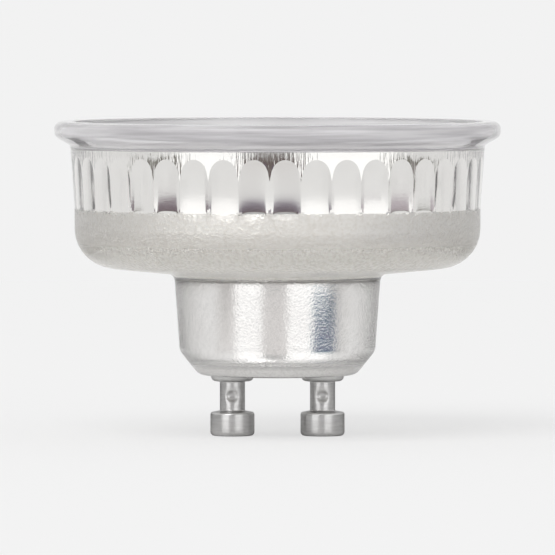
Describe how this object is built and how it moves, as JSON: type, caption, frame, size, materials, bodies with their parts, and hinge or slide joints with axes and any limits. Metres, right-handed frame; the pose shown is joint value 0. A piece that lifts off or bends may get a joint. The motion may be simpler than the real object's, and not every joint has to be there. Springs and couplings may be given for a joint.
{
  "type": "spotlight bulb",
  "caption": "Short glass-bodied spotlight bulb: fluted mirror reflector bowl with a thick rim and clear front glass, pebbled neck, and a twist-lock base with headed contact pins.",
  "frame": {"origin": "midway between the contact pins, in the plane of their tips", "axes": "+Z along the lamp axis towards the front glass, +X through the right-hand pin, -Y towards the viewer of the picture"},
  "size_m": [0.0494, 0.0494, 0.0349],
  "materials": {
    "reflector_glass": "pressed clear glass, mirror coated inside, pebbled outside below the wall",
    "cover_glass": "clear, polished",
    "sealant": "translucent silicone",
    "pin_metal": "satin nickel plate",
    "washer_steel": "zinc plate",
    "spreader_aluminium": "satin, turned",
    "adhesive": "matt white silicone",
    "thermal_pad": "matt grey silicone",
    "board_white": "white solder mask on aluminium",
    "dam_white": "matt white silicone",
    "phosphor": "yellow phosphor in silicone",
    "screw_steel": "zinc plate",
    "solder": "bright solder",
    "board_green": "green solder mask on glass fibre",
    "capacitor_sleeve": "shrink sleeve",
    "ferrite": "matt ferrite",
    "winding_copper": "enamelled copper wire",
    "package_black": "moulded epoxy",
    "resistor_coat": "lacquer",
    "input_lead": "insulated wire",
    "lead_red": "insulated wire",
    "lead_black": "insulated wire"
  },
  "bodies": {
    "root": {"glass_body": "reflector_glass", "front_glass": "cover_glass", "cover_sealant": "sealant", "contact_pin_left": "pin_metal", "contact_pin_right": "pin_metal", "pin_washer_left": "washer_steel", "pin_washer_right": "washer_steel", "heat_spreader": "spreader_aluminium", "spreader_adhesive": "adhesive", "thermal_pad": "thermal_pad", "led_board": "board_white", "led_dam_ring": "dam_white", "led_phosphor": "phosphor", "board_screws": "screw_steel", "led_solder_joints": "solder", "driver_solder_joints": "solder", "driver_board": "board_green", "bulk_capacitor": "capacitor_sleeve", "choke_core": "ferrite", "choke_winding": "winding_copper", "bridge_rectifier": "package_black", "driver_chip": "package_black", "fuse_resistor": "resistor_coat", "input_lead_left": "input_lead", "input_lead_right": "input_lead", "led_lead_positive": "lead_red", "led_lead_negative": "lead_black"}
  },
  "joints": []
}
